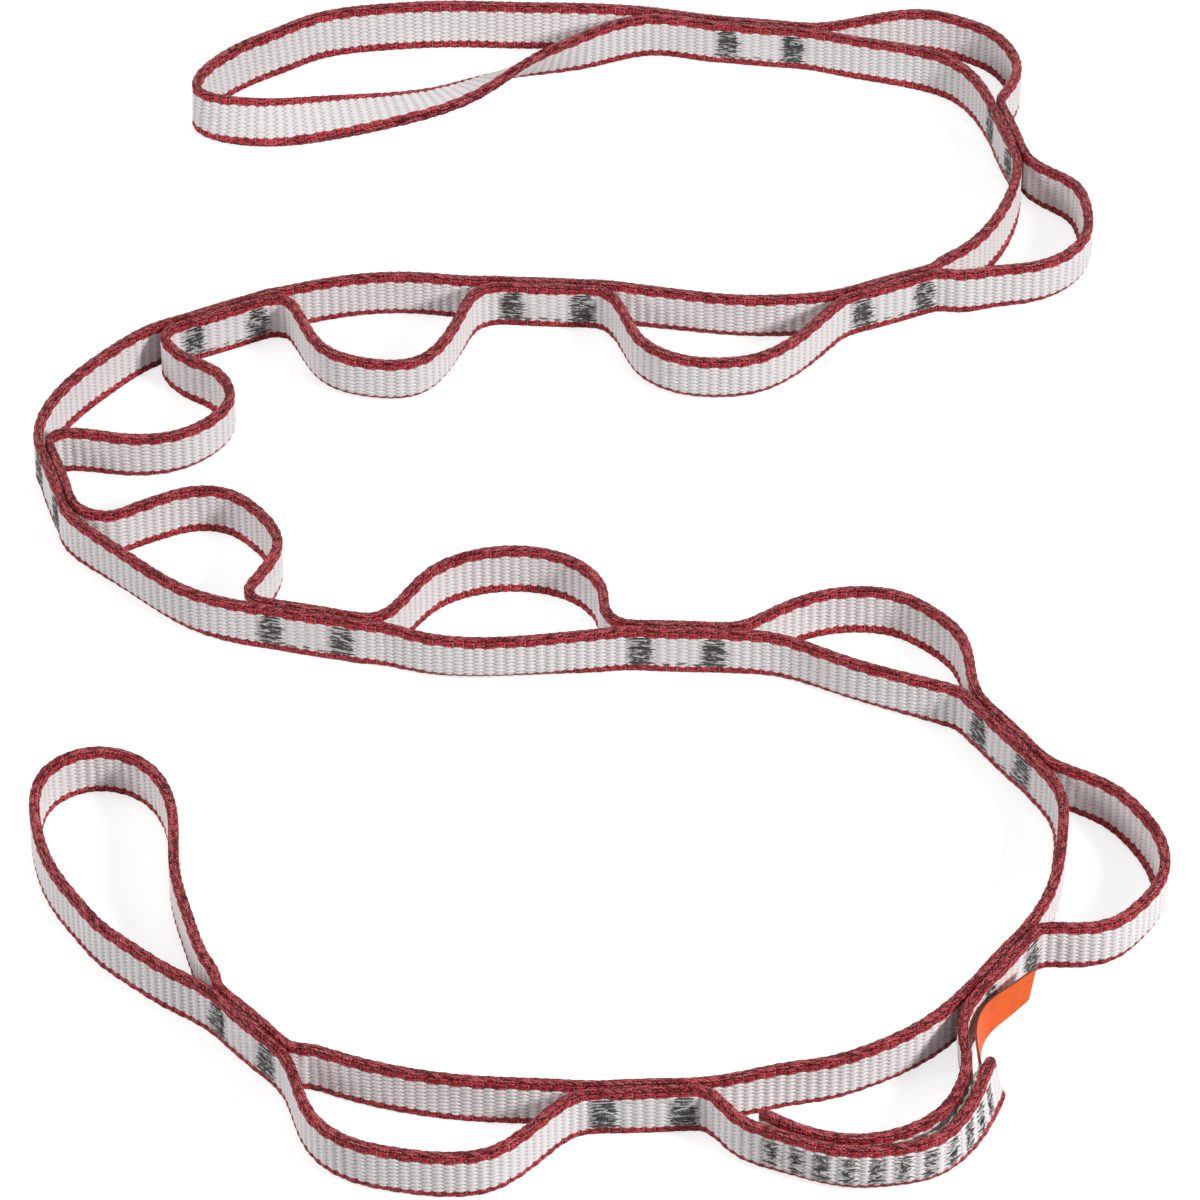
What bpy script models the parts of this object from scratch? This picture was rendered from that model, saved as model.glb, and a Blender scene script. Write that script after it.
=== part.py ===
import math

import bmesh
import bpy
import numpy as np

# Daisy chain of 12 mm webbing, lying on its edge as in the photo. Lengths are in millimetres
# and are turned into metres when a mesh is made.
MM = 0.001

# Webbing
WEB_WIDTH = 12.0
WEB_THICK = 2.2
EDGE_BEVEL = 0.4
BEVEL_SHARE = 0.4
PLY_GAP = 0.3
CLEARANCE = 0.3

# Sewn tacks: two bars of stitching across a doubled stretch
BAR_OFFSET = 8.5
BAR_LENGTH = 4.4
BAR_HEIGHT = 7.8
BAR_THICK = 0.4
BAR_CORNER = 0.3
BAR_CORE = 1.6
SLOT_OVERRUN = 1.0
DOUBLED_HALF = 11.3

# Hinge between the two bars of a tack
NOSE_ANGLES = (0.0, 27.0, 54.0, 78.0)
HORN_TIP = 0.3
HOLLOW_STEPS = (0.0, 0.4, 1.0)

# Lap where the two ends of the strip are sewn together
LAP_BAR_COUNT = 11
LAP_BAR_PITCH = 5.7
LAP_BAR_FIRST = 7.6
LAP_BAR_LENGTH = 2.8
LAP_BAR_CORE = 1.0
LAP_RUN_HEIGHT = 0.8
LAP_RUN_INSET = 0.05
LAP_RUN_STEPS = 31
LAP_SEARCH = 7.0

# Tape label
LABEL_THICK = 0.5
LABEL_BOTTOM = 0.8
LABEL_HEIGHT = 9.2

# Smoothness of the curved runs
STEP_TURN = math.radians(15.0)
STEP_LENGTH = 14.0
FINE = 400

# Moves the route points so that the chain is centred on the origin
SHIFT_X = 5.0
SHIFT_Y = -20.5

# Centre (x, y) and heading in degrees of each tack
TACKS = [
    (41.5, 224.5, -8.0),
    (103.0, 179.0, -77.0),
    (71.0, 114.0, -155.5),
    (-13.0, 113.0, 176.5),
    (-92.5, 102.8, -153.0),
    (-128.8, 38.8, -73.0),
    (-67.5, -12.8, -14.0),
    (17.7, -18.7, -2.5),
    (92.0, -54.5, -57.0),
    (87.2, -130.5, -124.5),
    (9.0, -171.0, -177.5),
    (-75.6, -149.5, 130.5),
]

# Points of the pocket ply between one tack and the next
POCKET_POINTS = [
    [(63, 225.5), (74, 229), (84.5, 230), (93.5, 226.5), (100.5, 221.5), (105, 214), (106.5, 206.5),
     (103, 195)],
    [(112.5, 160.5), (118, 155.5), (121, 144.5), (120, 134), (114, 125), (105, 120.5), (96, 119),
     (88, 117.5)],
    [(56, 103), (47.5, 91.5), (37, 83.5), (29, 82), (22.5, 82.5), (16, 85), (10, 90.5), (6, 100.5)],
    [(-30, 110.5), (-33.5, 103.5), (-37, 93), (-44.5, 82.5), (-57, 82), (-66, 86.5), (-74.5, 103.5),
     (-76.5, 106.5)],
    [(-105, 94.5), (-100, 83.5), (-94, 79.5), (-89, 68), (-94, 58.5), (-101.5, 53.5), (-114.5, 52.5),
     (-126, 54.5), (-129, 54), (-131, 52)],
    [(-115, 23), (-110, 25.5), (-104, 29), (-97, 32), (-88.5, 31.5), (-80.5, 24.5), (-75.5, 13.5),
     (-80.5, -1.5), (-81.5, -5)],
    [(-52.5, -14.5), (-45, -6.5), (-38, 3.5), (-27.5, 9), (-15.5, 9.5), (-5, 4.5), (0.5, -5.5),
     (1.5, -13)],
    [(40, -12.5), (52.5, -6), (61, -5), (68.5, -6.5), (76, -12), (82.5, -21), (84.3, -32), (84.9, -38.6)],
    [(106.5, -69), (114, -74), (120, -82), (124, -92), (123.5, -103.5), (118, -113), (113, -118),
     (102, -120.5)],
    [(81, -171), (77, -179.5), (70.5, -186.5), (61, -189.5), (53, -190), (44.5, -188), (38.5, -185.5),
     (28, -179)],
    [(-13, -181), (-17.5, -186), (-22.5, -190), (-32.5, -192), (-43.5, -190.5), (-53.5, -187),
     (-60.5, -180.5), (-65, -168.5)],
]

# Points of the straighter back ply between one tack and the next
BACK_POINTS = [
    [(62, 219), (79.5, 214), (91, 207.5), (96.5, 198.5)],
    [(104.5, 163.5), (99, 142.5), (87.5, 126), (84, 123)],
    [(46, 107.5), (31.5, 107.5), (19.5, 109.5), (7.5, 112)],
    [(-31, 115), (-45, 116.5), (-74, 112), (-78.5, 110.5)],
    [(-107.5, 96.5), (-118, 87), (-129, 72), (-134, 54)],
    [(-124.5, 23), (-117.5, 15), (-108.5, 6), (-94, -6)],
    [(-52, -17.5), (-42.5, -21), (-8, -21.5), (1.5, -20)],
    [(38.5, -21.5), (55, -29.5), (77.5, -39), (82, -41.5)],
    [(102.5, -76), (102.5, -87.5), (101, -99), (98, -110)],
    [(70, -150.5), (57.5, -159), (48, -163), (40.5, -164.5)],
    [(-7.5, -170), (-29.5, -168.5), (-58, -160.5), (-62, -159)],
]

# The tenth pocket holds the lap: its outer ply starts at a free end and its inner ply stops at one.
# The sixth pocket is the piece that the others hang from.
LAP_POCKET = 10
FIXED_POCKET = 6
OUTER_END = (84.4, -161.9, -115.0)
INNER_END = (33.8, -177.9, 139.0)
INNER_POINTS = [(77.5, -152.5), (78, -160), (76.5, -169.5), (72.5, -177.5), (67, -182.5), (60.5, -185.5),
                (53.5, -186.5), (45.5, -185)]

# End loops, walked from one ply of their tack round to the other
LONG_LOOP_POINTS = [(14.5, 230.5), (-2, 232), (-23, 232.5), (-40, 233), (-57, 231.5), (-74, 227),
                    (-83.5, 220.5), (-90, 216), (-102.5, 195), (-86.5, 189), (-71.5, 190.5),
                    (-55.5, 194), (-38, 200.5), (-21.5, 212.5), (-4.5, 221), (5, 225.8), (13.5, 228)]
SHORT_LOOP_POINTS = [(-93, -134.5), (-103.5, -125.5), (-109.5, -119.5), (-114, -113), (-120, -103),
                     (-125.5, -85.5), (-123.5, -67.5), (-115, -62), (-104.5, -64.5), (-95.5, -81.5),
                     (-94, -100.5), (-90, -117.5), (-85.5, -131), (-83.5, -135.5)]

# Half twist of the long loop: length walked along its route and roll in degrees
TWIST = [(146.0, 0.0), (164.0, 28.0), (176.0, 45.0), (188.0, 66.0), (200.0, 83.0), (213.0, 97.0),
         (226.0, 109.0), (235.0, 126.0), (243.0, 144.0), (252.0, 160.0), (264.0, 180.0)]

TWIST_STEP = 3.5

LABEL_POINTS = [(81.2, -157.0), (81.2, -150.0), (83.5, -143.5), (88.5, -138.0)]
LABEL_ROOT = (81.9, -164.0, 97.0)
LABEL_TIP = (94.2, -132.3, 42.0)
LABEL_PIVOT = (81.5, -161.5)

HALF = WEB_THICK / 2
PLY_OFFSET = (WEB_THICK + PLY_GAP) / 2
NOSE_RADIUS = WEB_THICK + PLY_GAP / 2
HOLLOW_RADIUS = NOSE_RADIUS + CLEARANCE


def unit(degrees):
    """Plan direction of a heading."""
    return np.array([math.cos(math.radians(degrees)), math.sin(math.radians(degrees))])


def left_of(direction):
    """Direction turned a quarter turn to the left."""
    return np.array([-direction[1], direction[0]])


def moved(point):
    """Route point moved to the centred frame."""
    return np.array([point[0] + SHIFT_X, point[1] + SHIFT_Y])


def tack_frame(number):
    """Centre, heading and left normal of a tack, counted from 1."""
    x, y, degrees = TACKS[number - 1]
    heading = unit(degrees)
    return moved((x, y)), heading, left_of(heading)


def tack_point(number, along, side):
    """Point on a ply's centre line, a distance along the tack's heading from its centre."""
    centre, heading, left = tack_frame(number)
    return centre + along * heading + side * PLY_OFFSET * left


def route(first, points, last, heading_in, heading_out):
    """Clamped cubic spline through the points, sampled finely as positions and tangents."""
    nodes = np.array([first] + [moved(p) for p in points] + [last], float)
    span = np.linalg.norm(np.diff(nodes, axis=0), axis=1)
    knot = np.concatenate([[0.0], np.cumsum(span)])
    count = len(nodes)
    matrix = np.zeros((count, count))
    right = np.zeros((count, 2))
    matrix[0, 0] = 1.0
    matrix[-1, -1] = 1.0
    right[0] = heading_in
    right[-1] = heading_out
    for i in range(1, count - 1):
        matrix[i, i - 1] = span[i]
        matrix[i, i] = 2 * (span[i - 1] + span[i])
        matrix[i, i + 1] = span[i - 1]
        ahead = span[i - 1] * (nodes[i + 1] - nodes[i]) / span[i]
        behind = span[i] * (nodes[i] - nodes[i - 1]) / span[i - 1]
        right[i] = 3 * (ahead + behind)
    slope = np.linalg.solve(matrix, right)
    at = np.linspace(0.0, knot[-1], FINE)
    i = np.clip(np.searchsorted(knot, at, "right") - 1, 0, count - 2)
    h = span[i][:, None]
    s = ((at - knot[i]) / span[i])[:, None]
    place = (2 * s**3 - 3 * s**2 + 1) * nodes[i] + (3 * s**2 - 2 * s**3) * nodes[i + 1]
    place = place + h * ((s**3 - 2 * s**2 + s) * slope[i] + (s**3 - s**2) * slope[i + 1])
    tangent = (6 * s**2 - 6 * s) * (nodes[i] - nodes[i + 1]) / h
    tangent = tangent + (3 * s**2 - 4 * s + 1) * slope[i] + (3 * s**2 - 2 * s) * slope[i + 1]
    tangent = tangent / np.linalg.norm(tangent, axis=1)[:, None]
    return place, tangent


def stations(place, tangent):
    """Rows of the fine samples, spaced by how far the line has turned and run."""
    step = np.linalg.norm(np.diff(place, axis=0), axis=1)
    cross = tangent[:-1, 0] * tangent[1:, 1] - tangent[:-1, 1] * tangent[1:, 0]
    cost = step / STEP_LENGTH + np.abs(np.arcsin(np.clip(cross, -1, 1))) / STEP_TURN
    total = np.concatenate([[0.0], np.cumsum(cost)])
    count = max(2, math.ceil(total[-1]))
    return np.searchsorted(total, np.linspace(0.0, total[-1], count + 1)[1:-1])


def level(point, normal, low=-HALF, high=HALF):
    """Upright section of the webbing: centre, thickness direction, width direction, extents."""
    centre = np.array([point[0], point[1], WEB_WIDTH / 2])
    across = np.array([normal[0], normal[1], 0.0])
    return centre, across, np.array([0.0, 0.0, 1.0]), low, high


def nose_sections(number, side, out):
    """Round end of a ply at a tack's hinge, from its tip to the full ply, walked along out."""
    centre, heading, left = tack_frame(number)
    away = out * heading
    inner = side * left
    rows = []
    for angle in reversed(NOSE_ANGLES):
        reach = NOSE_RADIUS * math.sin(math.radians(angle))
        outer = NOSE_RADIUS * math.cos(math.radians(angle)) - PLY_OFFSET
        point = centre - reach * away + PLY_OFFSET * inner
        rows.append(level(point, inner, -HALF, outer))
    return rows


def hollow_sections(number, side, out):
    """Start of a ply that wraps round the nose, from its horn to the full ply, walked along out."""
    centre, heading, left = tack_frame(number)
    away = out * heading
    inner = side * left
    widest = NOSE_RADIUS - HORN_TIP
    rows = []
    for part in HOLLOW_STEPS:
        edge = widest + part * (PLY_GAP / 2 - widest)
        reach = math.sqrt(HOLLOW_RADIUS**2 - edge**2)
        point = centre + reach * away + PLY_OFFSET * inner
        rows.append(level(point, inner, edge - PLY_OFFSET, HALF))
    return rows


def turned(rows, tangent_side):
    """The same sections with the thickness direction measured the way the walk needs it."""
    result = []
    for centre, across, up, low, high in rows:
        if tangent_side < 0:
            result.append((centre, -across, up, -high, -low))
        else:
            result.append((centre, across, up, low, high))
    return result


def skin(rows):
    """Mesh of a bevelled bar of webbing through the sections."""
    verts = []
    for centre, across, up, low, high in rows:
        bevel = min(EDGE_BEVEL, BEVEL_SHARE * (high - low))
        top = WEB_WIDTH / 2
        ring = [
            (low, bevel - top), (low + bevel, -top), (high - bevel, -top), (high, bevel - top),
            (high, top - bevel), (high - bevel, top), (low + bevel, top), (low, top - bevel),
        ]
        for lateral, rise in ring:
            verts.append((centre + lateral * across + rise * up) * MM)
    ring_size = len(ring)
    faces = []
    for i in range(len(rows) - 1):
        a = i * ring_size
        b = a + ring_size
        for j in range(ring_size):
            k = (j + 1) % ring_size
            faces.append((a + j, a + k, b + k, b + j))
    last = (len(rows) - 1) * ring_size
    faces.append(tuple(range(ring_size - 1, -1, -1)))
    faces.append(tuple(range(last, last + ring_size)))
    return verts, faces


def prism(outline, bottom, top):
    """Upright solid over a plan outline."""
    count = len(outline)
    verts = [(x * MM, y * MM, bottom * MM) for x, y in outline]
    verts += [(x * MM, y * MM, top * MM) for x, y in outline]
    faces = [tuple(range(count - 1, -1, -1)), tuple(range(count, 2 * count))]
    for i in range(count):
        j = (i + 1) % count
        faces.append((i, j, j + count, i + count))
    return verts, faces


def make_object(name, verts, faces, material):
    """Object from a vertex and face list, closed and facing out."""
    mesh = bpy.data.meshes.new(name)
    mesh.from_pydata([tuple(v) for v in verts], [], faces)
    body = bmesh.new()
    body.from_mesh(mesh)
    bmesh.ops.remove_doubles(body, verts=body.verts, dist=1e-7)
    bmesh.ops.recalc_face_normals(body, faces=body.faces)
    body.to_mesh(mesh)
    body.free()
    item = bpy.data.objects.new(name, mesh)
    bpy.context.scene.collection.objects.link(item)
    if material is not None:
        mesh.materials.append(material)
        mesh.polygons.foreach_set("use_smooth", [True] * len(mesh.polygons))
        mesh.set_sharp_from_angle(angle=math.radians(35.0))
    return item


def set_origin(item, point):
    """Put an object's origin on a joint's axis without moving its shape."""
    shift = np.array([point[0], point[1], 0.0]) * MM
    count = len(item.data.vertices)
    place = np.empty(count * 3)
    item.data.vertices.foreach_get("co", place)
    item.data.vertices.foreach_set("co", (place.reshape(-1, 3) - shift).ravel())
    item.data.update()
    item.location = shift


def combine(item, verts, faces, operation):
    """Cut the solid away from an object or add it to the object."""
    tool = make_object(item.name + "_tool_" + operation.lower(), verts, faces, None)
    tool.hide_render = True
    tool.display_type = "WIRE"
    step = item.modifiers.new(operation.lower(), "BOOLEAN")
    step.operation = operation
    step.solver = "EXACT"
    step.object = tool
    graph = bpy.context.evaluated_depsgraph_get()
    result = bpy.data.meshes.new_from_object(item.evaluated_get(graph))
    item.modifiers.clear()
    old = item.data
    item.data = result
    result.name = item.name
    bpy.data.meshes.remove(old)
    bpy.data.objects.remove(tool)


def merged(parts):
    """One vertex and face list from several."""
    verts = []
    faces = []
    for more_verts, more_faces in parts:
        base = len(verts)
        verts += more_verts
        faces += [tuple(base + i for i in face) for face in more_faces]
    return verts, faces


def plain_material(name, colour, roughness):
    """Principled material of one colour."""
    material = bpy.data.materials.new(name)
    material.use_nodes = True
    shader = material.node_tree.nodes["Principled BSDF"]
    shader.inputs["Base Color"].default_value = (*colour, 1.0)
    shader.inputs["Roughness"].default_value = roughness
    return material


def box_between(start, end, along, half_along, bottom, top):
    """Upright box that runs from start to end and reaches half_along to each side."""
    outline = [start - half_along * along, start + half_along * along,
               end + half_along * along, end - half_along * along]
    return prism(outline, bottom, top)


def bar_outline(far, near, far_along, near_along, length, core):
    """Plan of a bar of stitching: a pad on each face of the plies and a core between them."""
    out = (near - far) / np.linalg.norm(near - far)
    half = length / 2
    core_half = core / 2
    cut = half - BAR_CORNER
    near_out = near + BAR_THICK * out
    far_out = far - BAR_THICK * out
    return [
        far - core_half * far_along, far - half * far_along, far_out - cut * far_along,
        far_out + cut * far_along, far + half * far_along, far + core_half * far_along,
        near + core_half * near_along, near + half * near_along, near_out + cut * near_along,
        near_out - cut * near_along, near - half * near_along, near - core_half * near_along,
    ]


def ply_sections(first_tack, second_tack, side, points):
    """Sections of a ply from its hollow at one tack to its nose at the next."""
    start = tack_point(first_tack, DOUBLED_HALF, side)
    end = tack_point(second_tack, -DOUBLED_HALF, side)
    heading_in = tack_frame(first_tack)[1]
    heading_out = tack_frame(second_tack)[1]
    place, tangent = route(start, points, end, heading_in, heading_out)
    rows = turned(hollow_sections(first_tack, side, 1), side)
    rows.append(level(start, left_of(heading_in)))
    for i in stations(place, tangent):
        rows.append(level(place[i], left_of(tangent[i])))
    rows.append(level(end, left_of(heading_out)))
    rows += turned(nose_sections(second_tack, side, -1), side)[::-1]
    return rows


for item in list(bpy.data.objects):
    bpy.data.objects.remove(item, do_unlink=True)

webbing = plain_material("webbing", (0.80, 0.78, 0.77), 0.75)
thread = plain_material("thread", (0.17, 0.17, 0.19), 0.6)
tape = plain_material("tape", (0.95, 0.25, 0.06), 0.55)

slot_bottom = (WEB_WIDTH - BAR_HEIGHT) / 2 - CLEARANCE
slot_top = WEB_WIDTH - slot_bottom
bar_bottom = slot_bottom + CLEARANCE
bar_top = slot_top - CLEARANCE
slots = {}


def slot_tools(number, where, side):
    """Slot through one ply of a tack, at its entry or exit bar."""
    centre, heading, left = tack_frame(number)
    middle = centre + where * BAR_OFFSET * heading
    near = middle + side * (NOSE_RADIUS + SLOT_OVERRUN) * left
    half_along = BAR_CORE / 2 + CLEARANCE
    return box_between(middle, near, heading, half_along, slot_bottom, slot_top)


# Pocket plies and back plies of the eleven pockets
for k in range(1, len(TACKS)):
    tools = {}
    for side in (1, -1):
        tools[side] = [slot_tools(k, 1, side), slot_tools(k + 1, -1, side)]
    if k != LAP_POCKET:
        sections = ply_sections(k, k + 1, 1, POCKET_POINTS[k - 1])
        ply = make_object("pocket_ply_%02d" % k, *skin(sections), webbing)
        combine(ply, *merged(tools[1]), "DIFFERENCE")
    sections = ply_sections(k, k + 1, -1, BACK_POINTS[k - 1])
    ply = make_object("back_ply_%02d" % k, *skin(sections), webbing)
    combine(ply, *merged(tools[-1]), "DIFFERENCE")

# Lap: outer ply from its free end to the eleventh tack, inner ply from the tenth tack to its free end
outer_heading = unit(OUTER_END[2])
outer_start = moved(OUTER_END)
outer_stop = tack_point(LAP_POCKET + 1, -DOUBLED_HALF, 1)
outer_out = tack_frame(LAP_POCKET + 1)[1]
outer_place, outer_tangent = route(
    outer_start, POCKET_POINTS[LAP_POCKET - 1], outer_stop, outer_heading, outer_out)
inner_start = tack_point(LAP_POCKET, DOUBLED_HALF, 1)
inner_in = tack_frame(LAP_POCKET)[1]
inner_place, inner_tangent = route(
    inner_start, INNER_POINTS, moved(INNER_END), inner_in, unit(INNER_END[2]))

run = np.concatenate([[0.0], np.cumsum(np.linalg.norm(np.diff(outer_place, axis=0), axis=1))])
lap_bars = []
lap_slots = []
for i in range(LAP_BAR_COUNT):
    row = int(np.searchsorted(run, LAP_BAR_FIRST + i * LAP_BAR_PITCH))
    near_along = outer_tangent[row]
    out = left_of(near_along)
    offset = inner_place - outer_place[row]
    beside = np.abs(offset @ near_along)
    beside[np.linalg.norm(offset, axis=1) > LAP_SEARCH] = LAP_SEARCH
    match = int(np.argmin(beside))
    far_along = inner_tangent[match]
    face = HALF + CLEARANCE
    near = outer_place[row] + face * out
    far = inner_place[match] - face * left_of(far_along)
    outline = bar_outline(far, near, far_along, near_along, LAP_BAR_LENGTH, LAP_BAR_CORE)
    lap_bars.append((outline, row))
    beyond = SLOT_OVERRUN * (near - far) / np.linalg.norm(near - far)
    lap_slots.append(box_between(far - beyond, near + beyond, near_along,
                                 LAP_BAR_CORE / 2 + CLEARANCE, slot_bottom, slot_top))

rows = [level(outer_place[0], left_of(outer_tangent[0]))]
rows += [level(outer_place[i], left_of(outer_tangent[i])) for i in stations(outer_place, outer_tangent)]
rows.append(level(outer_stop, left_of(outer_out)))
rows += turned(nose_sections(LAP_POCKET + 1, 1, -1), 1)[::-1]
outer_ply = make_object("pocket_ply_10", *skin(rows), webbing)
combine(outer_ply, *merged(lap_slots + [slot_tools(LAP_POCKET + 1, -1, 1)]), "DIFFERENCE")

rows = turned(hollow_sections(LAP_POCKET, 1, 1), 1)
rows.append(level(inner_start, left_of(inner_in)))
rows += [level(inner_place[i], left_of(inner_tangent[i])) for i in stations(inner_place, inner_tangent)]
rows.append(level(inner_place[-1], left_of(inner_tangent[-1])))
inner_ply = make_object("lap_ply_10", *skin(rows), webbing)
combine(inner_ply, *merged(lap_slots + [slot_tools(LAP_POCKET, 1, 1)]), "DIFFERENCE")

# Lap stitching: a run of thread on the outer face joined to the bars
first_row = lap_bars[0][1]
last_row = lap_bars[-1][1]
run_low = HALF + CLEARANCE + LAP_RUN_INSET
run_high = HALF + CLEARANCE + BAR_THICK - LAP_RUN_INSET
run_verts = []
run_rows = np.linspace(first_row, last_row, LAP_RUN_STEPS).round().astype(int)
for i in run_rows:
    normal = left_of(outer_tangent[i])
    for lateral in (run_low, run_high):
        for rise in (-LAP_RUN_HEIGHT / 2, LAP_RUN_HEIGHT / 2):
            point = outer_place[i] + lateral * normal
            run_verts.append((point[0] * MM, point[1] * MM, (WEB_WIDTH / 2 + rise) * MM))
run_faces = [(0, 1, 3, 2)]
for i in range(len(run_rows) - 1):
    a = 4 * i
    for j, k in ((0, 1), (1, 3), (3, 2), (2, 0)):
        run_faces.append((a + j, a + k, a + 4 + k, a + 4 + j))
end = 4 * (len(run_rows) - 1)
run_faces.append((end, end + 2, end + 3, end + 1))
stitching = make_object("lap_stitching", run_verts, run_faces, thread)
bar_solids = [prism(outline, bar_bottom, bar_top) for outline, row in lap_bars]
combine(stitching, *merged(bar_solids), "UNION")

# Bars of the twelve tacks
for k in range(1, len(TACKS) + 1):
    centre, heading, left = tack_frame(k)
    for where, word in ((-1, "in"), (1, "out")):
        middle = centre + where * BAR_OFFSET * heading
        face = NOSE_RADIUS + CLEARANCE
        outline = bar_outline(middle - face * left, middle + face * left, heading, heading,
                              BAR_LENGTH, BAR_CORE)
        make_object("bar_%02d_%s" % (k, word), *prism(outline, bar_bottom, bar_top), thread)

# Long end loop with a half twist in its near side
first = tack_frame(1)[1]
start = tack_point(1, -DOUBLED_HALF, 1)
end = tack_point(1, -DOUBLED_HALF, -1)
place, tangent = route(start, LONG_LOOP_POINTS, end, -first, first)
walked = np.concatenate([[0.0], np.cumsum(np.linalg.norm(np.diff(place, axis=0), axis=1))])
twist_at = np.array([row[0] for row in TWIST])
twist_by = np.array([row[1] for row in TWIST])
picks = list(stations(place, tangent))
wanted = np.arange(twist_at[0], twist_at[-1] + TWIST_STEP, TWIST_STEP)
picks = sorted(set(int(i) for i in picks if not twist_at[0] - 1 < walked[i] < twist_at[-1] + 1)
               | set(int(i) for i in np.searchsorted(walked, wanted)))
rows = turned(nose_sections(1, 1, -1), -1)
rows.append(level(start, left_of(-first)))
for i in picks:
    roll = math.radians(float(np.interp(walked[i], twist_at, twist_by)))
    centre, across, up, low, high = level(place[i], left_of(tangent[i]))
    rows.append((centre, math.cos(roll) * across - math.sin(roll) * up,
                 math.cos(roll) * up + math.sin(roll) * across, low, high))
flip = [level(end, left_of(first))] + turned(nose_sections(1, -1, -1), -1)[::-1]
for centre, across, up, low, high in flip:
    rows.append((centre, -across, -up, -high, -low))
loop = make_object("end_loop_long", *skin(rows), webbing)
combine(loop, *merged([slot_tools(1, -1, 1), slot_tools(1, -1, -1)]), "DIFFERENCE")

# Short end loop
last = len(TACKS)
final = tack_frame(last)[1]
start = tack_point(last, DOUBLED_HALF, 1)
end = tack_point(last, DOUBLED_HALF, -1)
place, tangent = route(start, SHORT_LOOP_POINTS, end, final, -final)
rows = turned(hollow_sections(last, 1, 1), 1)
rows.append(level(start, left_of(final)))
rows += [level(place[i], left_of(tangent[i])) for i in stations(place, tangent)]
rows.append(level(end, left_of(-final)))
rows += turned(hollow_sections(last, -1, 1), 1)[::-1]
loop = make_object("end_loop_short", *skin(rows), webbing)
combine(loop, *merged([slot_tools(last, 1, 1), slot_tools(last, 1, -1)]), "DIFFERENCE")

# Tape label, with its sewn root between the plies of the lap
place, tangent = route(moved(LABEL_ROOT), LABEL_POINTS, moved(LABEL_TIP), unit(LABEL_ROOT[2]),
                       unit(LABEL_TIP[2]))
picks = [0] + list(stations(place, tangent)) + [FINE - 1]
outline = [place[i] + LABEL_THICK / 2 * left_of(tangent[i]) for i in picks]
outline += [place[i] - LABEL_THICK / 2 * left_of(tangent[i]) for i in reversed(picks)]
label = make_object("label", *prism(outline[::-1], LABEL_BOTTOM, LABEL_BOTTOM + LABEL_HEIGHT), tape)
set_origin(label, moved(LABEL_PIVOT))

# Each moving piece has its origin on its own hinge; the sixth pocket is the fixed one
for item in bpy.data.objects:
    words = item.name.split("_")
    if item.name == "end_loop_long" or item.name == "bar_01_in":
        set_origin(item, tack_frame(1)[0])
    elif item.name == "end_loop_short" or item.name == "bar_12_out":
        set_origin(item, tack_frame(last)[0])
    elif item.name != "label":
        pocket = LAP_POCKET
        if words[0] == "bar":
            pocket = int(words[1]) if words[2] == "out" else int(words[1]) - 1
        elif words[-1].isdigit():
            pocket = int(words[-1])
        if pocket < FIXED_POCKET:
            set_origin(item, tack_frame(pocket + 1)[0])
        elif pocket > FIXED_POCKET:
            set_origin(item, tack_frame(pocket)[0])
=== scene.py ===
import math

import bpy
import numpy as np
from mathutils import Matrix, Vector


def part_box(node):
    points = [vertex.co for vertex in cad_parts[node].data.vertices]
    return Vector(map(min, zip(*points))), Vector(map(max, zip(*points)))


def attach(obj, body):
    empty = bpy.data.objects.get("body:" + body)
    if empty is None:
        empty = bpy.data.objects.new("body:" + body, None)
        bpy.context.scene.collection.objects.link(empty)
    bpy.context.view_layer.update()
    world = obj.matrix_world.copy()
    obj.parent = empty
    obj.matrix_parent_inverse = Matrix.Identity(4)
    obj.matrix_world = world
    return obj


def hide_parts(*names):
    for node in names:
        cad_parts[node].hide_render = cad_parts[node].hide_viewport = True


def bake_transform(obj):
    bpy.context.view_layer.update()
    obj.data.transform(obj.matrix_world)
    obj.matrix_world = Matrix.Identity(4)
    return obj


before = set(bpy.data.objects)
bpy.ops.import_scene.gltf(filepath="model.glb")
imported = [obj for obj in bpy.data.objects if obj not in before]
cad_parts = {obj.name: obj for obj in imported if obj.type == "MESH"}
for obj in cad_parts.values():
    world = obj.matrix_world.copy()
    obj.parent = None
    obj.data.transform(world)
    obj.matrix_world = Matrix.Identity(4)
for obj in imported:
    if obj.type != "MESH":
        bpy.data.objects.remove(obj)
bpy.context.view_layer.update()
mm = 0.001


# camera: the photo's own view, found from the pairs of stitched bars
photoView = {
    "lens": 200.0,  # mm
    "sensor": 36.0,  # mm
    "elevation": 39.5,  # degrees above the floor
    "distance": 1.55,  # metres
    "aim": (0.0048, -0.0208, 0.0046),
}


def placeCamera(view):
    data = bpy.data.cameras.new("photoCamera")
    data.lens = view["lens"]
    data.sensor_width = view["sensor"]
    data.clip_start = 0.05
    camera = bpy.data.objects.new("photoCamera", data)
    rise = math.radians(view["elevation"])
    back = view["distance"] * np.array([0.0, -math.cos(rise), math.sin(rise)])
    camera.location = np.array(view["aim"]) + back
    camera.rotation_euler = (math.pi / 2 - rise, 0.0, 0.0)
    bpy.context.scene.collection.objects.link(camera)
    bpy.context.scene.camera = camera


placeCamera(photoView)


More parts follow.
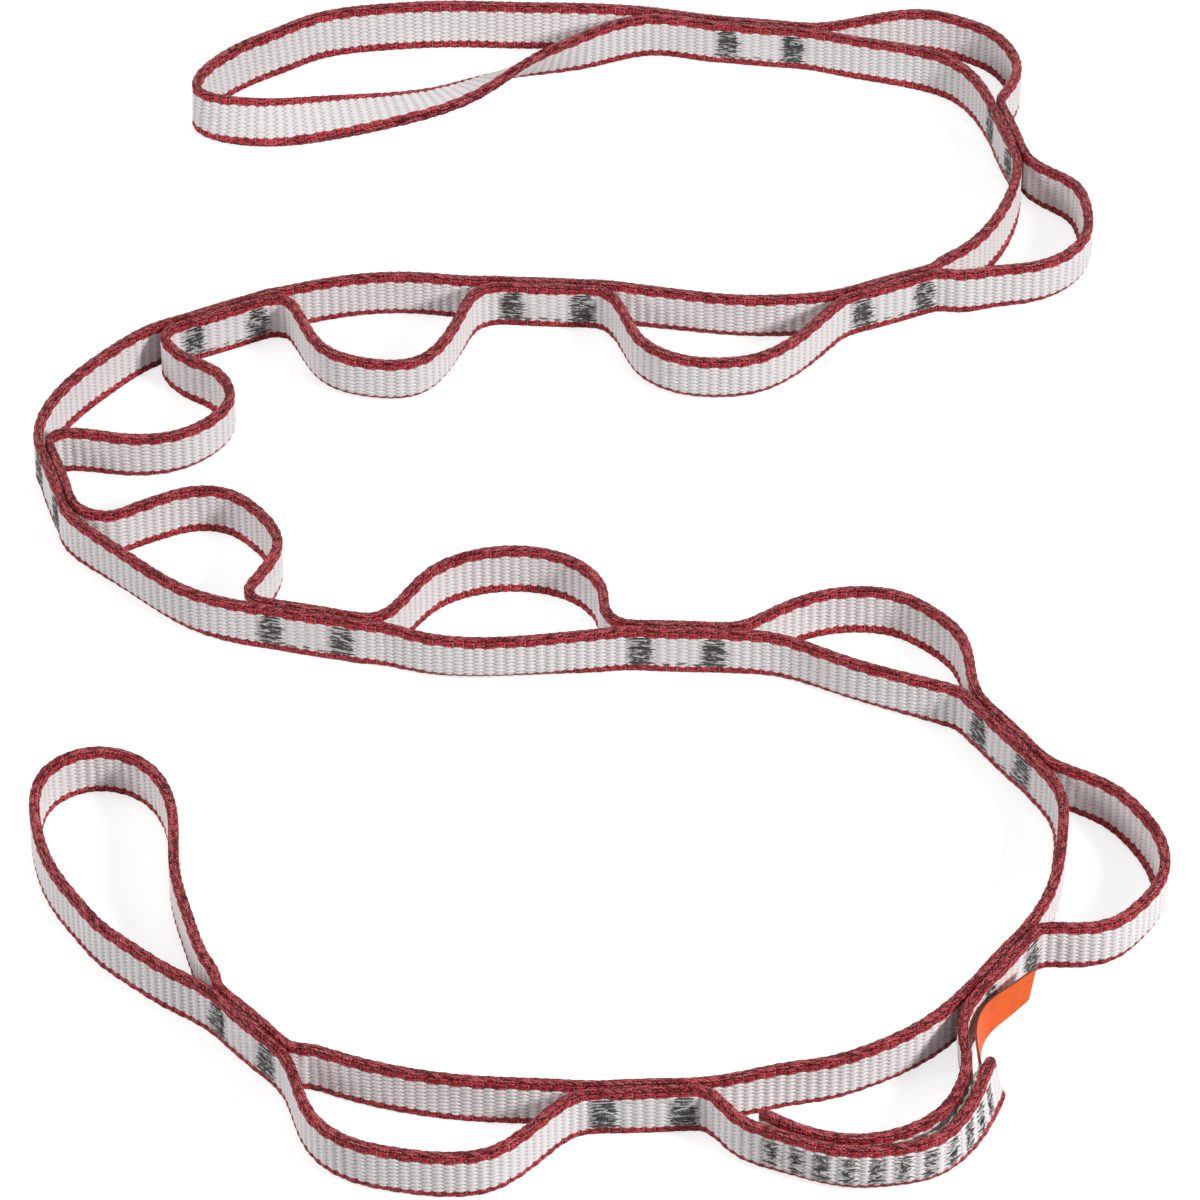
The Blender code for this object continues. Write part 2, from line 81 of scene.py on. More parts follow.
# Routes of the webbing, in millimetres: the same points as the CAD model's
routes = {
    "shift": (5, -20.5),
    "straight": 11.3,  # half length of the doubled stretch at a tack
    "barAt": 8.5,  # a bar's middle, from the tack's middle
    "tacks": [
        (41.5, 224.5, -8),
        (103, 179, -77),
        (71, 114, -155.5),
        (-13, 113, 176.5),
        (-92.5, 102.8, -153),
        (-128.8, 38.8, -73),
        (-67.5, -12.8, -14),
        (17.7, -18.7, -2.5),
        (92, -54.5, -57),
        (87.2, -130.5, -124.5),
        (9, -171, -177.5),
        (-75.6, -149.5, 130.5),
    ],
    "pocket": [
        [(63, 225.5), (74, 229), (84.5, 230), (93.5, 226.5), (100.5, 221.5), (105, 214), (106.5, 206.5),
         (103, 195)],
        [(112.5, 160.5), (118, 155.5), (121, 144.5), (120, 134), (114, 125), (105, 120.5), (96, 119),
         (88, 117.5)],
        [(56, 103), (47.5, 91.5), (37, 83.5), (29, 82), (22.5, 82.5), (16, 85), (10, 90.5), (6, 100.5)],
        [(-30, 110.5), (-33.5, 103.5), (-37, 93), (-44.5, 82.5), (-57, 82), (-66, 86.5), (-74.5, 103.5),
         (-76.5, 106.5)],
        [(-105, 94.5), (-100, 83.5), (-94, 79.5), (-89, 68), (-94, 58.5), (-101.5, 53.5),
         (-114.5, 52.5), (-126, 54.5), (-129, 54), (-131, 52)],
        [(-115, 23), (-110, 25.5), (-104, 29), (-97, 32), (-88.5, 31.5), (-80.5, 24.5), (-75.5, 13.5),
         (-80.5, -1.5), (-81.5, -5)],
        [(-52.5, -14.5), (-45, -6.5), (-38, 3.5), (-27.5, 9), (-15.5, 9.5), (-5, 4.5), (0.5, -5.5),
         (1.5, -13)],
        [(40, -12.5), (52.5, -6), (61, -5), (68.5, -6.5), (76, -12), (82.5, -21), (84.3, -32),
         (84.9, -38.6)],
        [(106.5, -69), (114, -74), (120, -82), (124, -92), (123.5, -103.5), (118, -113), (113, -118),
         (102, -120.5)],
        [(81, -171), (77, -179.5), (70.5, -186.5), (61, -189.5), (53, -190), (44.5, -188),
         (38.5, -185.5), (28, -179)],
        [(-13, -181), (-17.5, -186), (-22.5, -190), (-32.5, -192), (-43.5, -190.5), (-53.5, -187),
         (-60.5, -180.5), (-65, -168.5)],
    ],
    "back": [
        [(62, 219), (79.5, 214), (91, 207.5), (96.5, 198.5)],
        [(104.5, 163.5), (99, 142.5), (87.5, 126), (84, 123)],
        [(46, 107.5), (31.5, 107.5), (19.5, 109.5), (7.5, 112)],
        [(-31, 115), (-45, 116.5), (-74, 112), (-78.5, 110.5)],
        [(-107.5, 96.5), (-118, 87), (-129, 72), (-134, 54)],
        [(-124.5, 23), (-117.5, 15), (-108.5, 6), (-94, -6)],
        [(-52, -17.5), (-42.5, -21), (-8, -21.5), (1.5, -20)],
        [(38.5, -21.5), (55, -29.5), (77.5, -39), (82, -41.5)],
        [(102.5, -76), (102.5, -87.5), (101, -99), (98, -110)],
        [(70, -150.5), (57.5, -159), (48, -163), (40.5, -164.5)],
        [(-7.5, -170), (-29.5, -168.5), (-58, -160.5), (-62, -159)],
    ],
    "outerEnd": (84.4, -161.9, -115),
    "innerEnd": (33.8, -177.9, 139),
    "inner": [(77.5, -152.5), (78, -160), (76.5, -169.5), (72.5, -177.5), (67, -182.5), (60.5, -185.5),
              (53.5, -186.5), (45.5, -185)],
    "longLoop": [(14.5, 230.5), (-2, 232), (-23, 232.5), (-40, 233), (-57, 231.5), (-74, 227),
                 (-83.5, 220.5), (-90, 216), (-102.5, 195), (-86.5, 189), (-71.5, 190.5),
                 (-55.5, 194), (-38, 200.5), (-21.5, 212.5), (-4.5, 221), (5, 225.8), (13.5, 228)],
    "shortLoop": [(-93, -134.5), (-103.5, -125.5), (-109.5, -119.5), (-114, -113), (-120, -103),
                  (-125.5, -85.5), (-123.5, -67.5), (-115, -62), (-104.5, -64.5), (-95.5, -81.5),
                  (-94, -100.5), (-90, -117.5), (-85.5, -131), (-83.5, -135.5)],
    # length walked round the long loop, and how far the webbing has rolled there
    "twist": [(146, 0), (164, 28), (176, 45), (188, 66), (200, 83),
              (213, 97), (226, 109), (235, 126), (243, 144), (252, 160),
              (264, 180)],
    "label": [(81.2, -157), (81.2, -150), (83.5, -143.5), (88.5, -138)],
    "labelRoot": (81.9, -164, 97),
    "labelTip": (94.2, -132.3, 42),
    "samples": 1200,
}


def heading(degrees):
    turn = math.radians(degrees)
    return np.array([math.cos(turn), math.sin(turn)])


def shifted(point):
    return np.array(point[:2], float) + routes["shift"]


def tackFrame(number):
    # a tack's middle, its heading and the direction to its left
    x, y, degrees = routes["tacks"][number - 1]
    along = heading(degrees)
    return shifted((x, y)), along, np.array([-along[1], along[0]])


def plyPoint(number, along, side):
    # a point on one ply's centre line, so far along the tack's heading from its middle
    middle, ahead, left = tackFrame(number)
    return middle + along * ahead + side * (webbing["thick"] + webbing["plyGap"]) / 2 * left


def smoothRoute(first, points, last, headIn, headOut):
    # Cubic pieces through the points whose first and second derivatives agree at every point, with
    # the given headings at the two ends. The slopes come from one small set of linear equations.
    knots = np.array([first] + [shifted(p) for p in points] + [last], float)
    gap = np.linalg.norm(np.diff(knots, axis=0), axis=1)
    reach = np.concatenate([[0.0], np.cumsum(gap)])
    count = len(knots)
    system = np.eye(count)
    pull = np.zeros((count, 2))
    pull[0] = headIn
    pull[-1] = headOut
    inner = np.arange(1, count - 1)
    system[inner, inner - 1] = gap[1:]
    system[inner, inner] = 2 * (gap[:-1] + gap[1:])
    system[inner, inner + 1] = gap[:-1]
    chord = np.diff(knots, axis=0) / gap[:, None]
    pull[1:-1] = 3 * (gap[:-1, None] * chord[1:] + gap[1:, None] * chord[:-1])
    slope = np.linalg.solve(system, pull)
    at = np.linspace(0.0, reach[-1], routes["samples"])
    piece = np.clip(np.searchsorted(reach, at, "right") - 1, 0, count - 2)
    wide = gap[piece][:, None]
    t = ((at - reach[piece]) / gap[piece])[:, None]
    place = (2 * t**3 - 3 * t**2 + 1) * knots[piece] + (3 * t**2 - 2 * t**3) * knots[piece + 1]
    return place + wide * ((t**3 - 2 * t**2 + t) * slope[piece] + (t**3 - t**2) * slope[piece + 1])


def walkAlong(place):
    # a line's points with the length walked and the unwrapped heading at each of them
    step = np.diff(place, axis=0)
    walked = np.concatenate([[0.0], np.cumsum(np.linalg.norm(step, axis=1))])
    turn = np.unwrap(np.arctan2(step[:, 1], step[:, 0]))
    middle = (walked[1:] + walked[:-1]) / 2
    return {"place": place, "walked": walked, "turn": np.interp(walked, middle, turn)}


def onWalk(walk, lengths):
    # places and headings at any lengths along the line
    x = np.interp(lengths, walk["walked"], walk["place"][:, 0])
    y = np.interp(lengths, walk["walked"], walk["place"][:, 1])
    return np.stack([x, y], -1), np.interp(lengths, walk["walked"], walk["turn"])


def plyWalk(number, side, points):
    # from the leaving bar of one tack to the entering bar of the next
    start = plyPoint(number, routes["straight"], side)
    end = plyPoint(number + 1, -routes["straight"], side)
    curve = smoothRoute(start, points, end, tackFrame(number)[1], tackFrame(number + 1)[1])
    first = plyPoint(number, routes["barAt"], side)
    last = plyPoint(number + 1, -routes["barAt"], side)
    return walkAlong(np.concatenate([[first], curve, [last]]))


# webbing: a warp-faced weave whose ribs run across it, with a coloured band along each edge
webbing = {
    "width": 12.0,
    "thick": 2.2,
    "plyGap": 0.3,
    "edgeRound": 0.55,
    "ribPitch": 2.37,  # along the webbing
    "ribRise": 0.32,
    "floatPitch": 1.05,  # across the webbing, between threads that show in the same rib
    "zigzag": 0.2,  # how far a thread's tip reaches into the next rib, in ribs
    "groove": 0.11,  # between neighbouring threads of a rib
    "sunk": 0.19,  # how far the weave as a whole sinks into the CAD's face
    "deepest": -0.1,  # no groove goes deeper, as a share of ribRise
    "whiteHalf": 3.86,  # mm from the middle to where the white ends between two ribs
    "scallop": 0.32,  # how much further it reaches on a rib's crown
    "stepsPerRib": 5,
    "rowsPerFloat": 4,
    "faceRows": 37,
    "edgeRows": 11,
    "edgeSwell": 0.17,  # how far the coloured edges stand over the CAD's
    "pinch": 0.28,  # the bars pull the outer face in
    "pinchReach": 2.6,
    "calm": 0.55,  # share of the relief left where two plies are sewn flat
    "settle": 6.0,  # mm from there within which it grows back
    "faceFade": 1.4,  # mm over which the relief ends at the narrow edges
    "swellWave": 0.08,
    "beside": 0.8,  # share of the swelling lost where another ply lies alongside
    "besideReach": 5.0,
    "pressUp": 4,  # how much more the pressed plies fill between their upper edges
    "pressReach": 2.0,
    # a cut end: the relief left and its reach, its rounding and its taper
    "cutRelief": 0.15,
    "cutReach": 8.0,
    "cutRound": 0.3,
    "cutRoundReach": 0.45,
    "cutRoundTall": 0.2,
    "cutTaper": 0.22,
    "cutTaperReach": 2.2,
    "cutTaperUp": 0.4,
}
edgeMiddle = (webbing["width"] / 2 - webbing["edgeRound"] + webbing["edgeRound"] * math.pi / 2
              + webbing["thick"] / 2 - webbing["edgeRound"])


def sectionRing(size):
    # A rounded rectangle walked down the left face, round the lower edge, up the right face and
    # round the upper edge. Each point has its place, its outward normal and its signed distance
    # over the surface from the middle of the face.
    half = size["thick"] / 2
    tall = size["width"] / 2
    bend = size["edgeRound"]
    rows = size["faceRows"]
    step = size["floatPitch"] / size["rowsPerFloat"]
    face = (rows // 2 - np.arange(rows)) * step
    last = face[0]
    rim = edgeMiddle - last
    away = np.linspace(-rim, rim, size["edgeRows"] + 2)[1:-1]
    flat = half - bend
    arc = np.clip((np.abs(away) - flat) / bend, 0.0, math.pi / 2)
    beyond = np.maximum(np.abs(away) - flat - bend * math.pi / 2, 0.0)
    out = np.sign(away) * (np.minimum(np.abs(away), flat) + bend * np.sin(arc))
    over = tall - bend + bend * np.cos(arc) - beyond
    tilt = np.sign(away) * np.sin(arc)
    lift = np.cos(arc)
    reach = edgeMiddle - np.abs(away)
    ones = np.ones(rows)
    halves = {"lateral": (half * ones, -out), "rise": (face, -over), "side": (ones, -tilt),
              "up": (0 * ones, -lift), "surface": (face, -reach), "hand": (ones, -np.sign(away))}
    # the right face and the upper edge mirror the left face and the lower edge
    return {name: np.concatenate([side, edge, -side, -edge]) for name, (side, edge) in halves.items()}


def weaveHeight(rib, surface, size):
    # Each thread shows as a float, whose half length runs evenly from 0.5 + zigzag ribs on its
    # middle line to 0.5 - zigzag at its sides. Height is 1 - (distance / half length)^2, less a
    # groove that grows as the fourth power of the distance from the float's middle line. Threads
    # of neighbouring ribs lie half a pitch apart, so their tips interlock.
    nearest = np.round(rib)
    off = np.abs(rib - nearest)
    across = surface / size["floatPitch"] - np.mod(nearest, 2) / 2
    aside = np.abs(across - np.round(across))
    half = 0.5 + size["zigzag"] * (1 - 4 * aside)
    own = 1 - (off / half) ** 2 - size["groove"] / size["ribRise"] * (2 * aside) ** 4
    beside = 1 - 2 * aside
    other = 1 - ((1 - off) / (1 - half)) ** 2 - size["groove"] / size["ribRise"] * beside**4
    return np.where(off <= half, own, other)


ring = sectionRing(webbing)
faceShare = np.clip((edgeMiddle - np.abs(ring["surface"])) / webbing["faceFade"], 0.0, 1.0)
nearby = (-6, -3, 0, 3, 6)  # mm each way over which a table's values are averaged


def stanceShift(lengths, rise, stance):
    # How far a ply stands to its left at a height over its middle: curl x (below - height)^2 under
    # the height below, and tilt x height. Both are read from the stance's rows of length, curl and
    # tilt, and averaged.
    rows = np.array(stance["rows"])
    curl = 0.0
    tilt = 0.0
    for away in nearby:
        curl = curl + np.interp(lengths + away, rows[:, 0], rows[:, 1]) / len(nearby)
        tilt = tilt + np.interp(lengths + away, rows[:, 0], rows[:, 2]) / len(nearby)
    return curl * np.clip(stance["below"] - rise, 0, None) ** 2 + tilt * rise


def bowed(length, curl, below):
    # a stance that is upright at both sewn ends and curls most at its middle
    rows = [(share * length, curl * part, 0.0)
            for share, part in ((0.12, 0), (0.3, 0.6), (0.5, 1), (0.7, 0.6), (0.88, 0))]
    return {"rows": rows, "below": below}


def fade(distance, reach, power=2):
    # 1 at no distance, falling off round the reach
    return np.exp(-((distance / reach) ** power))


def ribbonGrid(walk, startRib, size, roll=None, outer=(0, 0), calm=None, stance=None,
               freeEnds=(False, False), press=0.0):
    # The section carried along the walk: place = centre + lateral x across + rise x up, pushed out
    # along the section's own normal by the weave's height. The number of ribs is whole, and even
    # outside the tacks, so that the weave runs on unbroken into the next piece. For each end outer
    # gives the side of the outer face. A sewn stretch keeps the share calm of its relief, and its
    # plies are pressed together by press.
    length = walk["walked"][-1]
    ribs = max(2, 2 * round(length / size["ribPitch"] / 2))
    if calm is not None:
        ribs = round(length / size["ribPitch"])
    rib = startRib + np.linspace(0.0, ribs, ribs * size["stepsPerRib"] + 1)
    lengths = (rib - startRib) / ribs * length
    place, turn = onWalk(walk, lengths)
    across = np.stack([-np.sin(turn), np.cos(turn), 0 * turn], -1)
    up = np.tile([0.0, 0.0, 1.0], (len(turn), 1))
    tip = np.zeros(len(lengths)) if roll is None else roll(lengths)
    cosTip = np.cos(tip)[:, None]
    sinTip = np.sin(tip)[:, None]
    turnedAcross = cosTip * across - sinTip * up
    turnedUp = cosTip * up + sinTip * across
    centre = np.concatenate([place, np.full((len(place), 1), size["width"] / 2)], 1)
    fromEnds = np.stack([lengths, length - lengths])
    settled = 1 - fade(fromEnds, size["settle"])
    relief = np.ones(len(lengths)) if calm is None else np.full(len(lengths), calm)
    pushed = np.zeros((len(lengths), len(ring["side"])))
    trim = np.ones(len(lengths))
    cut = np.ones(len(lengths))
    for i in (0, 1):
        if calm is None and not freeEnds[i]:
            relief = relief * (size["calm"] + (1 - size["calm"]) * settled[i])
        if outer[i]:
            well = size["pinch"] * fade(fromEnds[i], size["pinchReach"])
            pushed -= well[:, None] * np.clip(outer[i] * ring["side"], 0, 1)
        if freeEnds[i]:
            grown = 1 - fade(fromEnds[i], size["cutReach"], 4)
            relief = relief * (size["cutRelief"] + (1 - size["cutRelief"]) * grown)
            trim = trim * (1 - size["cutRound"] * fade(fromEnds[i], size["cutRoundReach"]))
            cut = cut * (1 - size["cutTaper"] * fade(fromEnds[i], size["cutTaperReach"]))
    crown = weaveHeight(rib[:, None], ring["surface"], size)
    weave = size["ribRise"] * np.maximum(crown, size["deepest"]) - size["sunk"]
    pushed += weave * relief[:, None] * faceShare
    # the coloured edges swell, but not where another ply lies against them
    swell = size["edgeSwell"] + size["swellWave"] * np.cos(4 * math.pi * rib)[:, None]
    for i in (0, 1):
        near = fade(fromEnds[i], size["besideReach"]) if calm is None else np.ones(len(lengths))
        facing = np.clip(-outer[i] * ring["side"], 0, size["beside"])
        swell = swell * (1 - near[:, None] * facing)
    pushed += swell * (1 - faceShare)
    if press:
        # plies sewn flat touch each other, and fill the hollow between their upper edges
        within = np.clip(-outer[0] * ring["side"], 0, 1) * (1 + size["pressUp"] * np.abs(ring["up"]))
        middle = 1 - fade(fromEnds.min(0), size["pressReach"])
        pushed += press * middle[:, None] * within
    lateral = (ring["lateral"] + pushed * ring["side"]) * trim[:, None]
    if stance is not None:
        lateral = lateral + stanceShift(lengths[:, None], ring["rise"], stance)
    upper = cut[:, None] ** size["cutTaperUp"]
    tall = ring["rise"] * np.where(ring["rise"] < 0, cut[:, None], upper)
    rise = tall * trim[:, None] ** size["cutRoundTall"] + pushed * ring["up"]
    grid = (centre[:, None, :] + lateral[..., None] * turnedAcross[:, None, :]
            + rise[..., None] * turnedUp[:, None, :])
    marks = np.broadcast_arrays(rib[:, None], ring["surface"], ring["hand"], relief[:, None])
    return grid, np.stack(marks, -1)


def shellPiece(name, grids, marks, material):
    # One mesh of closed tubes. Each grid is rings by points; the ends are closed by one face each.
    # The first two marks of a point go into the map weave, and two more into the map hand.
    points = np.concatenate([g.reshape(-1, 3) for g in grids]) * mm
    pattern = np.concatenate([m.reshape(-1, m.shape[-1]) for m in marks])
    corners = []
    sizes = []
    base = 0
    for grid in grids:
        rings, sides = grid.shape[-3:-1]
        tubes = grid.size // (3 * rings * sides)
        index = base + np.arange(tubes * rings * sides).reshape(tubes, rings, sides)
        ahead = np.roll(index, -1, axis=2)
        quads = np.stack([index[:, :-1], index[:, 1:], ahead[:, 1:], ahead[:, :-1]], -1)
        corners += [quads.ravel(), index[:, 0].ravel(), index[:, -1, ::-1].ravel()]
        sizes += [np.full(quads.size // 4, 4), np.full(2 * tubes, sides)]
        base += tubes * rings * sides
    corners = np.concatenate(corners).astype(np.int32)
    sizes = np.concatenate(sizes)
    starts = np.concatenate([[0], np.cumsum(sizes)[:-1]]).astype(np.int32)
    mesh = bpy.data.meshes.new(name)
    mesh.vertices.add(len(points))
    mesh.vertices.foreach_set("co", points.ravel().astype(np.float32))
    mesh.loops.add(len(corners))
    mesh.loops.foreach_set("vertex_index", corners)
    mesh.polygons.add(len(sizes))
    mesh.polygons.foreach_set("loop_start", starts)
    mesh.polygons.foreach_set("use_smooth", np.ones(len(sizes), bool))
    weaveMap = mesh.uv_layers.new(name="weave")
    weaveMap.data.foreach_set("uv", pattern[corners, :2].ravel().astype(np.float32))
    if pattern.shape[1] == 4:
        handMap = mesh.uv_layers.new(name="hand")
        handMap.data.foreach_set("uv", pattern[corners, 2:].ravel().astype(np.float32))
    mesh.update(calc_edges=True)
    mesh.validate()
    mesh.materials.append(material)
    piece = bpy.data.objects.new(name, mesh)
    bpy.context.scene.collection.objects.link(piece)
    return piece


# shader sums
class Wire:
    # a node's output that can be added, multiplied and so on like a number
    def __init__(self, graph, output):
        self.graph = graph
        self.output = output

    def __add__(self, other):
        return self.graph.sum("ADD", self, other)

    __radd__ = __add__

    def __sub__(self, other):
        return self.graph.sum("SUBTRACT", self, other)

    def __rsub__(self, other):
        return self.graph.sum("SUBTRACT", other, self)

    def __mul__(self, other):
        return self.graph.sum("MULTIPLY", self, other)

    __rmul__ = __mul__

    def __truediv__(self, other):
        return self.graph.sum("DIVIDE", self, other)

    def __abs__(self):
        return self.graph.sum("ABSOLUTE", self)


class Graph:
    # the nodes of a new material, or of the world
    def __init__(self, name, holder=None):
        self.holder = holder or bpy.data.materials.new(name)
        self.holder.use_nodes = True
        self.tree = self.holder.node_tree
        self.tree.nodes.clear()

    def add(self, kind, settings=None, sockets=None, output=0):
        node = self.tree.nodes.new(kind)
        for key, value in (settings or {}).items():
            setattr(node, key, value)
        for key, value in (sockets or {}).items():
            if isinstance(value, Wire):
                self.tree.links.new(value.output, node.inputs[key])
            else:
                node.inputs[key].default_value = value
        return Wire(self, node.outputs[output]) if len(node.outputs) else None

    def sum(self, operation, a, b=0.0):
        return self.add("ShaderNodeMath", {"operation": operation}, {0: a, 1: b})

    def numbers(self, name):
        # the two numbers that a UV map holds
        place = self.add("ShaderNodeUVMap", {"uv_map": name})
        return [self.add("ShaderNodeSeparateXYZ", None, {0: place}, i) for i in (0, 1)]

    def point(self, x, y, z):
        return self.add("ShaderNodeCombineXYZ", None, {0: x, 1: y, 2: z})

    def noise(self, at, scale, detail):
        return self.add("ShaderNodeTexNoise", {"noise_dimensions": "3D"},
                        {"Vector": at, "Scale": scale, "Detail": detail})

    def colours(self, share, a, b):
        # a where share is 0, b where it is 1
        return self.add("ShaderNodeMix", {"data_type": "RGBA"}, {0: share, 6: a, 7: b}, 2)

    def ease(self, value, low, high, start=0.0, end=1.0):
        # start below low, end above high, and a smooth step between
        return self.add("ShaderNodeMapRange", {"interpolation_type": "SMOOTHSTEP"},
                        {0: value, 1: low, 2: high, 3: start, 4: end})

    def finish(self, shader, kind="ShaderNodeOutputMaterial"):
        self.add(kind, None, {"Surface": shader})
        return self.holder

    def fabric(self, colour, rough, height, strength, deep, more):
        # a plain surface with its own fine relief
        bump = self.add("ShaderNodeBump", None, {"Strength": strength, "Distance": deep, "Height": height})
        sockets = {"Base Color": colour, "Roughness": rough, "Normal": bump, **more}
        return self.finish(self.add("ShaderNodeBsdfPrincipled", None, sockets))


# webbing material
cloth = {
    # the webbing's own white, tinted warm to paint the light bounced from the red edges
    "white": (0.89, 0.85, 0.85, 1),
    # painted shade for the white's grooves, pits and lines between threads, also reached by random fibre
    # tone
    "whiteShadeAndFibre": (0.40, 0.345, 0.355, 1),
    "red": (0.30, 0.0115, 0.022, 1),
    # painted highlight on the raised parts of the red
    "redHighlight": (0.66, 0.07, 0.085, 1),
    # painted shade for the red's grooves, crease and the gaps between stitches, also reached by random
    # fibres and blotches
    "redShadeAndMottle": (0.026, 0.001, 0.002, 1),
    # the pale weft, and the painted highlights on the edge's stitches and fibres
    "pinkWeftAndHighlight": (0.92, 0.50, 0.48, 1),
    "fibres": 9.0,
    "stitchesPerRib": 2,  # along the narrow edges
    "rowPitch": 0.47,  # mm between the rows of an edge
    "lean": 0.45,  # how far a stitch there slants, in stitches
    "creaseAt": 0.98,  # mm from the edge's middle line to the crease by the band
    # creaseDeep sinks the crease in the relief, and darkens the red there as painted shade
    "creaseDeep": 0.25,
    "stagger": 0.16,  # mm by which every other rib's border lies further out
    "wander": 0.6,  # how far borders and stitches stray
    "fibreTone": 0.9,  # how strongly single fibres show
    "rough": 0.45,
    "gloss": 0.12,
    "relief": 0.00025,
}


def webbingMaterial(look):
    graph = Graph("ribbedWebbing")
    rib, surface = graph.numbers("weave")
    # which side of the webbing it is, and how much of the relief is left there
    hand, relief = graph.numbers("hand")
    hand = graph.sum("SIGN", hand)
    far = abs(surface)
    nearest = graph.sum("FLOOR", rib + 0.5)
    odd = graph.sum("FLOORED_MODULO", nearest, 2.0)
    off = abs(rib - nearest)
    # the same floats as in weaveHeight: the nearest rib's own, or a tip from the next rib
    across = surface / webbing["floatPitch"] - 0.5 * odd
    centre = graph.sum("FLOOR", across + 0.5)
    aside = abs(across - centre)
    half = 0.5 + webbing["zigzag"] * (1.0 - 4.0 * aside)
    fromNext = graph.sum("GREATER_THAN", off, half)
    reach = off / half
    reachNext = (1.0 - off) / (1.0 - half)
    reach = reach + fromNext * (reachNext - reach)
    side = 2.0 * aside
    side = side + fromNext * (1.0 - side - side)
    crown = 1.0 - reach * reach

    # fibres run along the floats, and slower blotches of wear
    fibre = graph.noise(graph.point(rib * 1.1, surface * look["fibres"], hand * 9.0), 1.0, 2.0)
    blotch = graph.noise(graph.point(rib * 0.35, surface * 0.4, hand * 5.0), 1.0, 3.0)

    # white in the middle, with a scalloped border to the red band
    border = webbing["whiteHalf"] + webbing["scallop"] * (1.0 - 4.0 * off * off)
    border = border + look["stagger"] * (odd - 0.5) + look["wander"] * (blotch - 0.5)
    banded = graph.ease(far - border, -0.05, 0.05)

    spot = graph.noise(graph.point(rib * 5.0, surface * 3.5, hand * 7.0), 1.0, 1.0)

    # the narrow edge: rows of short floats that run along it, each row half a float from the next
    rim = edgeMiddle - far
    row = graph.sum("FLOOR", rim / look["rowPitch"])
    inRow = rim / look["rowPitch"] - row - 0.5
    sided = graph.sum("SIGN", surface)
    along = look["stitchesPerRib"] * rib + 0.5 * graph.sum("FLOORED_MODULO", row, 2.0)
    along = along + look["lean"] * inRow + look["wander"] * (blotch - 0.5)
    stitchNumber = graph.sum("FLOOR", along)
    stitch = 2.0 * abs(along - stitchNumber - 0.5)
    chance = graph.add("ShaderNodeTexWhiteNoise", {"noise_dimensions": "3D"},
                       {"Vector": graph.point(stitchNumber, hand * (row + 1.0), sided)})
    loop = (1.0 - stitch * stitch * stitch) * (1.0 - 2.4 * inRow * inRow)
    onEdge = graph.ease(rim, 1.1, 0.88)
    chain = loop * (0.62 + 0.38 * chance)
    crease = graph.ease(abs(rim - look["creaseAt"]), 0.16, 0.02)
    height = crown * (1.0 - onEdge) + chain * onEdge - look["creaseDeep"] * crease

    # colour: painted shade darkens the white off the floats' crowns, in the pits at their tips and along
    # the lines between threads, with random fibre tone; the painted shade fades where the relief is calmed
    pitShade = graph.ease(side, 0.35, 0.95) * graph.ease(reach, 0.72, 0.98)
    line = graph.ease(side + 0.25 * (fibre - 0.5), 0.72, 1.0)
    whiteShadeAndFibreMix = crown + look["fibreTone"] * (fibre - 0.5) - 0.4 * pitShade - 0.35 * line
    whiteShadeAndFibreMix = graph.ease(whiteShadeAndFibreMix, -0.35, 0.5)
    whiteShadeAndFibreMix = 1.0 - (1.0 - whiteShadeAndFibreMix) * graph.ease(relief, 0.1, 0.9, 0.08, 1.0)
    white = graph.colours(whiteShadeAndFibreMix, look["whiteShadeAndFibre"], look["white"])
    # painted shade in the red: darker in the grooves between threads, off the crowns, between the edge's
    # stitches and in the crease, with random fibre and blotch tone
    groove = 0.4 * graph.ease(side, 0.7, 1.0)
    redFloat = (0.36 + 0.5 * crown - groove) * (1.0 - onEdge)
    redHeight = redFloat + chain * onEdge - look["creaseDeep"] * crease
    redHeight = redHeight + look["fibreTone"] * (fibre - 0.5) + 0.5 * (blotch - 0.5)
    red = graph.colours(graph.ease(redHeight, 0.22, 0.95), look["redShadeAndMottle"], look["red"])
    # painted highlights: random spots of lighter red on the raised parts
    lit = graph.ease(spot + 0.3 * chance, 0.48, 0.76) * graph.ease(redHeight, 0.3, 0.8)
    red = graph.colours(lit, red, look["redHighlight"])
    # pale weft shows where two ribs of the band meet; the small flecks on the edge's stitches and the pale
    # fibre streaks are painted highlights
    seam = graph.ease(off + 0.06 * (blotch - 0.5), 0.42, 0.47) * graph.ease(rim, 0.95, 1.25)
    seam = seam * graph.ease(blotch + 1.4 * spot, 0.95, 1.4)
    stitchHighlight = graph.ease(stitch, 0.62, 0.9) * graph.ease(chance + 0.5 * (spot - 0.5), 0.62, 0.72) * onEdge
    fibreHighlight = graph.ease(fibre, 0.7, 0.8) * 0.2 * (1.0 - onEdge)
    pale = graph.sum("MINIMUM", seam * 0.5 + stitchHighlight * 0.7 + fibreHighlight, 1.0)
    red = graph.colours(pale, red, look["pinkWeftAndHighlight"])
    colour = graph.colours(banded, white, red)
    return graph.fabric(colour, look["rough"], height + 0.3 * fibre, 0.9, look["relief"],
                        {"Specular IOR Level": look["gloss"]})


webbingFinish = webbingMaterial(cloth)


# stitching thread
thread = {
    "tone": (0.115, 0.11, 0.107, 1),
    # pale: the colour of the painted glints
    "pale": (0.58, 0.56, 0.55, 1),
    # deep: painted shade between the plies, also reached by random tone
    "deep": (0.008, 0.008, 0.008, 1),
    "rough": 0.45,
}


